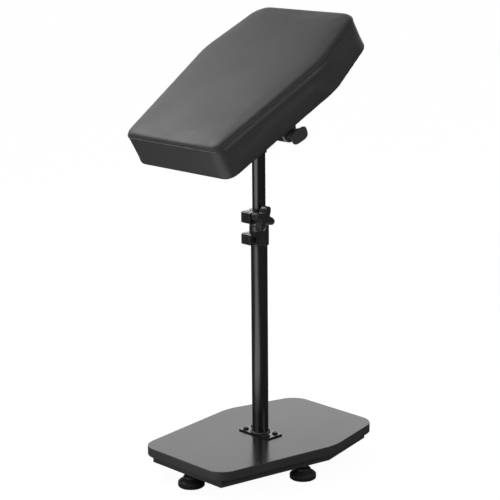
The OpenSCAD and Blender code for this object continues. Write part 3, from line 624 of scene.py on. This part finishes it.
# %% Model one foot and copy it
DOME_SHARES = [(1, 0), (0.93, 0.09), (0.84, 0.21), (0.7, 0.36), (0.56, 0.5), (0.39, 0.64), (0.22, 0.79),
               (0.1, 0.89), (0.03, 0.97), (0, 1)]
HOLLOW_R, SOLE_IN, SOLE_OUT, HOLLOW_H = 18.5, 19.6, 23.6, 1
GRIP_R, GRIP_WAIST, RIBS, GRIP_LOW, GRIP_TOP = 25.5, 24.7, 60, 1.6, 9.3
RIM_R, NECK_R, LIP_R, RIM_TOP, SHOULDER_TOP, NECK_TOP = 25.0, 15.2, 13.9, 10.0, 17.0, 20.8
BORE_R, BORE_LOW = 5.2, 12
foot = turned("foot_pattern", 480, [
    (0, HOLLOW_H), (HOLLOW_R, HOLLOW_H), (SOLE_IN, 0), (SOLE_OUT, 0),
    (GRIP_R, GRIP_LOW), (GRIP_R, GRIP_TOP), (RIM_R, RIM_TOP),
    *[(NECK_R + (RIM_R - NECK_R) * a, RIM_TOP + (SHOULDER_TOP - RIM_TOP) * h) for a, h in DOME_SHARES[1:]],
    (NECK_R, NECK_TOP - 1.6), (NECK_R - 0.4, NECK_TOP - 0.5), (LIP_R, NECK_TOP), (BORE_R, NECK_TOP),
    (BORE_R, BORE_LOW), (0, BORE_LOW)])
reshape(foot, lobes(GRIP_R, GRIP_WAIST, RIBS, first=0), GRIP_R, bottom=GRIP_LOW - 0.1, top=GRIP_TOP + 0.1)
smooth(foot, 40)
for side in ("near", "far", "left", "right"):
    one = foot.copy()
    one.data = foot.data.copy()
    one.name = side + "_foot_ribbed"
    bpy.context.scene.collection.objects.link(one)
    at = joint_at[side + "_stud_turn"]
    settle(one, side + "_foot", foot_plastic, "black_plastic", side + "_foot_pad",
           place=Matrix.Translation((at.x, at.y, 0)))
bpy.data.objects.remove(foot)

# %% [markdown]
# ## The weld at the pole's foot
# The pole stands in a fillet weld on its flange. A weld bead has even ripples, one for each dip of
# the rod: a torus with a wave along its length.

# %% Weld bead
TUBE_R = round(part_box("outer_tube")[1].x / MM, 3)
WELD_R = (TUBE_R + 1) * MM
WELD_Z = (heights("pole_flange")[1] + 0.6) * MM
RIPPLES, RIPPLE_SHARE, RIPPLE_LEAN = 40, 0.12, 700
weld = start("pole_weld_bead", "torus", major_radius=WELD_R, minor_radius=2.3 * MM, major_segments=240,
             minor_segments=12)
object_mode()
for v in weld.data.vertices:
    along = math.atan2(v.co.y, v.co.x)
    outward = math.hypot(v.co.x, v.co.y) - WELD_R
    ripple = 1 + RIPPLE_SHARE * math.cos(RIPPLES * along + RIPPLE_LEAN * outward)
    v.co.z = v.co.z * ripple + WELD_Z
    share = (WELD_R + outward * ripple) / (WELD_R + outward)
    v.co.x, v.co.y = v.co.x * share, v.co.y * share
weld.data.update()
smooth(weld, 60)
settle(weld, "base", powder_coat, "black_coat", "tube_weld")


# %% [markdown]
# ## Knobs
# The clamp's knob is a four-lobed grip on a ringed hub. The tilt knob is a pair of broad wings, thin
# at their tips, with a web behind that carries them to the hub. Both heads start as a disc that is
# given its outline by a formula. Then it is extruded, its face is inset and dished, and every rim
# gets a round, as a moulded grip has.

# %% Lobed heads
DRAWN_R = 10


def shaped_disc(name, outline, z):
    """A flat face of this outline at this height, in millimetres, open in edit mode."""
    disc = start(name, "circle", vertices=144, radius=DRAWN_R * MM, fill_type="NGON")
    bpy.ops.transform.translate(value=(0, 0, z * MM))
    object_mode()
    reshape(disc, outline, DRAWN_R)
    bpy.ops.object.mode_set(mode="EDIT")
    bpy.ops.mesh.select_all(action="SELECT")
    return disc


def shaped_head(name, outline, low, high, inset, dish, rim):
    """A grip of this outline between two heights, in millimetres, with a dished face on top."""
    head = shaped_disc(name, outline, low)
    bpy.ops.mesh.extrude_region_move(TRANSFORM_OT_translate={"value": (0, 0, (high - low) * MM)})
    close_mesh()
    pick(head, "polygons", lambda at, facing: facing.z > 0.9)
    bpy.ops.mesh.inset(thickness=inset * MM)
    bpy.ops.transform.translate(value=(0, 0, -dish * MM))
    object_mode()
    round_edges(head, rim, steps=5, angle=20)
    return head


def hub(name, profile):
    made = turned(name, 72, profile)
    round_edges(made, 0.35, steps=2, angle=30)
    return made


def fuse(name, *pieces):
    take(*pieces)
    bpy.ops.object.join()
    pieces[0].name = name
    return pieces[0]


# %% Clamp knob
HEAD_T, HUB_SUNK, INSERT_R = 16, 0.8, 4.3
RINGS, RING_R, RING_H, RING_PITCH, GROOVE_R = 3, 9.5, 2.6, 3.5, 8.5
back, face = reach("clamp_knob")
head = shaped_head("clamp_head", lobes(tip=25, waist=12, count=4, first=67), face - HEAD_T, face,
                   inset=3.4, dish=1.6, rim=2.4)
hub_top = face - HEAD_T + HUB_SUNK
hub_profile = [(INSERT_R, back)]
for ring in range(RINGS):
    z = back + RING_PITCH * ring
    hub_profile += [(RING_R, z), (RING_R, z + RING_H), (GROOVE_R, z + RING_H), (GROOVE_R, z + RING_PITCH)]
hub_profile += [(GROOVE_R, hub_top), (INSERT_R, hub_top), (INSERT_R, back)]
clamp_knob = fuse("clamp_knob_moulded", head, hub("clamp_hub", hub_profile))
smooth(clamp_knob, 40)
even_shading(clamp_knob)
settle(clamp_knob, "clamp_knob", moulded, "black_plastic", "clamp_knob", place=clamp_knob_place)

# %% Tilt knob
WING_L, WING_W, WING_DEPTH, TIP_T = 41, 26, 11.5, 4.1
WEB_IN, WEB_SUNK, WEB_R, HUB_EDGE, WING_INSERT_R = 1.2, 0.4, 11.5, 0.6, 5.3
back, face = reach("tilt_knob")
tip_back, web_back = face - TIP_T, face - WING_DEPTH
wings = squared_oval(WING_L, WING_W, squareness=3.2, turn=-11)
head = shaped_head("tilt_head", wings, tip_back, face, inset=2.6, dish=0.8, rim=1.7)
web = shaped_disc("tilt_web", lambda a: wings(a) - WEB_IN, tip_back + WEB_SUNK)
bpy.ops.mesh.extrude_region_move(
    TRANSFORM_OT_translate={"value": (0, 0, (web_back - tip_back - WEB_SUNK) * MM)})
bpy.ops.transform.resize(value=(WEB_R / (WING_L / 2 - WEB_IN), WEB_R / (WING_W / 2 - WEB_IN), 1),
                         center_override=(0, 0, web_back * MM))
close_mesh()
round_edges(web, 0.8, steps=3, angle=30)
tilt_hub = hub("tilt_hub", [
    (WING_INSERT_R, back), (WEB_R - HUB_EDGE, back), (WEB_R, back + HUB_EDGE), (WEB_R, web_back),
    (WEB_R - 0.7, web_back + 1), (WING_INSERT_R, web_back + 1), (WING_INSERT_R, back)])
tilt_knob = fuse("tilt_knob_moulded", head, web, tilt_hub)
smooth(tilt_knob, 40)
even_shading(tilt_knob)
settle(tilt_knob, "tilt_knob", knob_plastic_painted_light, "black_plastic", "tilt_knob", place=tilt_knob_place)

# %% [markdown]
# ## Softened edges
# No real edge is perfectly sharp, and a small round catches a line of light that shows its shape.
# Each sharp CAD part gets a copy: its triangles are merged back into whole faces, and a Bevel
# modifier rounds its edges. The copy then stands for the part.


# %% Soften the plates, the clamp and the fixings
def whole_faces(piece):
    """Merges a mesh's loose triangles into whole faces, and stays in edit mode."""
    take(piece)
    bpy.ops.object.mode_set(mode="EDIT")
    bpy.ops.mesh.select_all(action="SELECT")
    bpy.ops.mesh.remove_doubles(threshold=0.01 * MM)
    bpy.ops.mesh.dissolve_limited(angle_limit=math.radians(0.5))


def clean_copy(name):
    piece = bpy.data.objects.new(name + "_soft", nodes[name].data.copy())
    bpy.context.scene.collection.objects.link(piece)
    take(piece)
    bpy.ops.mesh.customdata_custom_splitnormals_clear()
    whole_faces(piece)
    object_mode()
    return piece


def soften(name, width, steps=2):
    piece = clean_copy(name)
    round_edges(piece, width, steps)
    smooth(piece, 40)
    even_shading(piece)
    slot = slot_of_node[name]
    settle(piece, nodes[name]["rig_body"], finish_of_slot[slot], slot, name)


soften("pole_flange", 0.6)
soften("flange_screws", 0.5)
soften("clamp_body", 1.0, steps=3)
soften("clamp_bolt", 0.4)
soften("tilt_bolt", 0.4)
soften("lock_screw", 0.4)

# %% [markdown]
# ## The tilt bracket
# The bracket is one strip of steel, bent down at both ends into ears. The CAD holds it as a plate
# and two ears, so their copies are united, and the two bends get the larger round of a folded plate.

# %% Bracket
FOLD_R = 3.6
ear_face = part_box("bracket_plate")[1].y
from_level = pad_place.inverted()
bracket = clean_copy("bracket_plate")
for ear_name in ("bracket_ear_left", "bracket_ear_right"):
    ear = clean_copy(ear_name)
    modify(bracket, "BOOLEAN", operation="UNION", solver="EXACT", object=ear)
    bpy.data.objects.remove(ear)
bracket.name = "bracket_folded"
whole_faces(bracket)


def on_bend(a, b):
    """True for the long edge between the plate's face and an ear's outer side."""
    a, b = from_level @ a, from_level @ b
    on_corner = all(meets(p.z, PAD_UNDERSIDE * MM) and meets(abs(p.y), ear_face) for p in (a, b))
    return on_corner and abs(a.x - b.x) > 5 * MM


pick(bracket, "edges", on_bend)
bpy.ops.mesh.bevel(offset=FOLD_R * MM, segments=6, affect="EDGES")
object_mode()
round_edges(bracket, 0.5, steps=2, angle=40)
smooth(bracket, 40)
settle(bracket, "pad", bracket_coat_painted_light, "black_coat", "bracket_plate", "bracket_ear_left", "bracket_ear_right")

# %% [markdown]
# ## The cushion
# The cushion is a block of foam in coated cloth. The cloth is sewn from a top and a side band, with
# a thin piped seam where they meet, and it is pulled tight under the board. The block is modelled
# level, as large as the foam in its cloth, and is remeshed evenly. Then Blender's Cloth blows it up
# with a little pressure, so that its top crowns and its sides fill as tight cloth does.

# %% Foam block
TOP = PAD_UNDERSIDE + PAD_SIDE
PAD_ENDS = [(PAD_CORNERS[end], PAD_CORNERS[end + "_w"]) for end in ("near", "bend", "far")]


def grown(by):
    """The pad's outline with every side moved outwards by this much."""
    sides = {"near": PAD_CORNERS["near"] - by, "bend": PAD_CORNERS["bend"], "far": PAD_CORNERS["far"] + by}
    return sides | {key: PAD_CORNERS[key] + 2 * by for key in ("near_w", "bend_w", "far_w")}


def rounds(by):
    """The radii of the pad's corners, larger by this much."""
    return dict(near_r=21 + by, bend_r=107 + by, far_r=36 + by)


def depth_inside(co):
    """How far a point is inside the pad's outline, in millimetres."""
    x, y = co.x / MM, abs(co.y) / MM
    depth = min(x - PAD_CORNERS["near"], PAD_CORNERS["far"] - x)
    for (x0, w0), (x1, w1) in zip(PAD_ENDS, PAD_ENDS[1:]):
        slope = (w1 - w0) / 2 / (x1 - x0)
        depth = min(depth, (w0 / 2 + slope * (x - x0) - y) / math.hypot(1, slope))
    return depth


BLOCK_GROWN, BLOCK_LIP, BLOCK_UP = 1.8, 1.0, 1.0
TOP_ROUND, BOTTOM_ROUND, VOXEL = 9.5, 1.5, 4.5
cushion = six_sided("cushion", **grown(BLOCK_GROWN), **rounds(1), z=PAD_UNDERSIDE - BLOCK_LIP,
                    thick=PAD_SIDE + BLOCK_LIP + BLOCK_UP)
pick(cushion, "edges", lambda a, b: min(a.z, b.z) > (TOP + BLOCK_UP - 0.1) * MM)
bpy.ops.mesh.bevel(offset=TOP_ROUND * MM, segments=6, affect="EDGES")
pick(cushion, "edges", lambda a, b: max(a.z, b.z) < (PAD_UNDERSIDE - BLOCK_LIP + 0.5) * MM)
bpy.ops.mesh.bevel(offset=BOTTOM_ROUND * MM, segments=2, affect="EDGES")
object_mode()
cushion.data.remesh_voxel_size = VOXEL * MM
take(cushion)
bpy.ops.object.voxel_remesh()
print("foam block:", len(cushion.data.polygons), "faces")

# %% Blow up the cloth
HELD_H, FRAMES = 3, 20
rest_places = [v.co.copy() for v in cushion.data.vertices]
held = cushion.vertex_groups.new(name="held")
low_ones = [v.index for v in cushion.data.vertices if v.co.z < (PAD_UNDERSIDE + HELD_H) * MM]
held.add(low_ones, 1.0, "REPLACE")
cloth = cushion.modifiers.new("Cloth", "CLOTH")
cloth.settings.use_pressure = True
cloth.settings.uniform_pressure_force = 4
cloth.settings.effector_weights.gravity = 0
cloth.settings.vertex_group_mass = "held"
cloth.settings.quality = 5
for number in range(1, FRAMES + 1):
    bpy.context.scene.frame_set(number)
take(cushion)
bpy.ops.object.modifier_apply(modifier="Cloth")
bpy.context.scene.frame_set(1)


# %% [markdown]
# The simulated skin is held to the shape of firm foam: the top may rise by the crown's height in the
# middle and by less and less towards its edges, and the sides may swell by about a millimetre. A
# Smooth modifier then eases the small puckers, which firm foam doesn't show. It leaves the bottom
# edge and the roll at the top as they are.

# %% Cap the swelling
CROWN, CROWN_REACH, SIDE_SWELL, ROLL = 3.6, 34, 1.0, 11
EASED_FROM, ROLL_AT, ROLL_HALF = 9, 9, 3


def capped(then, now):
    """Where a point may be, from where it was before the cloth was blown up and where it went."""
    moved = now - then
    level = min(1.0, max(0.0, (then.z - (TOP - ROLL) * MM) / (ROLL * MM)))
    middle = 1 - math.exp(-max(0.0, depth_inside(then)) / CROWN_REACH)
    most = (SIDE_SWELL * (1 - level) + CROWN * level * middle) * MM
    return then + moved * min(1.0, most / moved.length) if moved.length > 0 else then


for v, then in zip(cushion.data.vertices, rest_places):
    v.co = capped(then, v.co.copy())
eased = cushion.vertex_groups.new(name="eased")
eased.add([v.index for v in cushion.data.vertices if v.co.z > (PAD_UNDERSIDE + EASED_FROM) * MM
           and abs(v.co.z - (TOP - ROLL_AT) * MM) > ROLL_HALF * MM], 1.0, "REPLACE")
modify(cushion, "SMOOTH", factor=0.5, iterations=8, vertex_group="eased")
modify(cushion, "SUBSURF", levels=1, render_levels=1)
print("cushion:", len(cushion.data.polygons), "faces")

# %% [markdown]
# The seam is sewn afterwards, because the remesh would lose it: the side is drawn in along one line,
# just where the top rolls over. Inside the hem, the skin stays above the board's face.

# %% Sew the seam
SEAM_Z = TOP - 7.5
SEAM_DEPTH, SEAM_DROP, SEAM_SPREAD, SEAM_REACH = 2.2, 1.2, 2.4, 9
SKIN_ABOVE, SKIN_DEPTH = 0.4, 4.5
for v in cushion.data.vertices:
    above = v.co.z / MM - SEAM_Z
    if abs(above) < SEAM_REACH and abs(v.normal.z) < 0.75:
        pulled = SEAM_DEPTH * math.exp(-((above + SEAM_DROP) / SEAM_SPREAD) ** 2)
        v.co -= Vector((v.normal.x, v.normal.y, 0)).normalized() * pulled * MM
    if v.co.z < (PAD_UNDERSIDE + SKIN_ABOVE) * MM and depth_inside(v.co) > SKIN_DEPTH:
        v.co.z = (PAD_UNDERSIDE + SKIN_ABOVE) * MM
cushion.data.update()

# %% [markdown]
# The piping is a cord sewn into the seam. Its path is the pad's own outline at the seam's height,
# drawn onto the cushion by a Shrinkwrap modifier and given its thickness as a curve.

# %% Piping
PIPING_R, PIPING_OUT, PIPING_STEP = 1.5, 1.2, 9
piping = six_sided("piping", **PAD_CORNERS, **rounds(0), z=SEAM_Z, thick=1)
pick(piping, "vertices", lambda co: co.z > (SEAM_Z + 0.5) * MM)
bpy.ops.mesh.delete(type="VERT")
bpy.ops.mesh.select_all(action="SELECT")
bpy.ops.mesh.delete(type="ONLY_FACE")
bpy.ops.mesh.select_mode(type="EDGE")
for _ in range(5):
    pick(piping, "edges", lambda a, b: (a - b).length > PIPING_STEP * MM)
    bpy.ops.mesh.subdivide(number_cuts=1)
object_mode()
modify(piping, "SHRINKWRAP", target=cushion, wrap_method="NEAREST_SURFACEPOINT", wrap_mode="ABOVE_SURFACE",
       offset=PIPING_OUT * MM)
modify(piping, "SMOOTH", factor=0.5, iterations=2)
for v in piping.data.vertices:
    v.co.z = SEAM_Z * MM
take(piping)
bpy.ops.object.convert(target="CURVE")
piping = bpy.context.object
piping.data.bevel_depth = PIPING_R * MM
piping.data.bevel_resolution = 3
bpy.ops.object.convert(target="MESH")
piping = bpy.context.object
smooth(piping, 60)
settle(piping, "pad", piping_cloth_painted_highlight, "leathercloth", place=pad_place)

# %% Cover the cushion and turn it into place
smooth(cushion, 60)
settle(cushion, "pad", leathercloth, "leathercloth", "pad_cushion", place=pad_place)

# %% [markdown]
# ## The pad's underside
# The cloth is folded under the board and stapled there. The hem is a flat ring of cloth inside the
# pad's outline: one board with a smaller one cut out of it. The staples sit slantwise across it,
# every three centimetres or so.

# %% Hem
HEM_OUT, HEM_IN, HEM_T = 3, 26, 1.1
hem_under = PAD_UNDERSIDE + SKIN_ABOVE - HEM_T
hem = six_sided("hem", **grown(-HEM_OUT), **rounds(-HEM_OUT), z=hem_under, thick=HEM_T)
opening = six_sided("opening", **grown(-HEM_IN), near_r=6, bend_r=82, far_r=12, z=PAD_UNDERSIDE - 5,
                    thick=10)
modify(hem, "BOOLEAN", operation="DIFFERENCE", solver="EXACT", object=opening)
bpy.data.objects.remove(opening)
round_edges(hem, 0.4, steps=2, angle=60)
smooth(hem, 40)
settle(hem, "pad", leathercloth, "leathercloth", place=pad_place)

# %% Staples
STAPLE_L, STAPLE_W, STAPLE_T, STAPLE_PITCH = 10, 1.3, 0.8, 34
STAPLE_PROUD, STAPLE_MARGIN, STAPLE_SLANT = 0.5, 15, math.radians(60)
row = grown(-(HEM_OUT + HEM_IN) / 2)
left_side = [(row[end], row[end + "_w"] / 2) for end in ("far", "bend", "near")]
ring = [(x, -y) for x, y in reversed(left_side)] + left_side
staples = []
for (x0, y0), (x1, y1) in zip(ring, ring[1:] + ring[:1]):
    length = math.hypot(x1 - x0, y1 - y0)
    count = int((length - 2 * STAPLE_MARGIN) / STAPLE_PITCH)
    for i in range(count + 1):
        share = 0.5 + (i - count / 2) * STAPLE_PITCH / length
        staple = start("staple", "cube", size=MM)
        bpy.ops.transform.resize(value=(STAPLE_L, STAPLE_W, STAPLE_T), center_override=(0, 0, 0))
        bpy.ops.mesh.bevel(offset=0.3 * MM, segments=1, affect="EDGES")
        object_mode()
        turn = math.atan2(y1 - y0, x1 - x0) + STAPLE_SLANT
        z = hem_under - STAPLE_PROUD + STAPLE_T / 2
        at = Vector((x0 + (x1 - x0) * share, y0 + (y1 - y0) * share, z)) * MM
        staple.data.transform(Matrix.Translation(at) @ Matrix.Rotation(turn, 4, "Z"))
        staples.append(staple)
print("staples:", len(staples))
staples = fuse("staples", *staples)
settle(staples, "pad", zinc, "zinc_steel", place=pad_place)
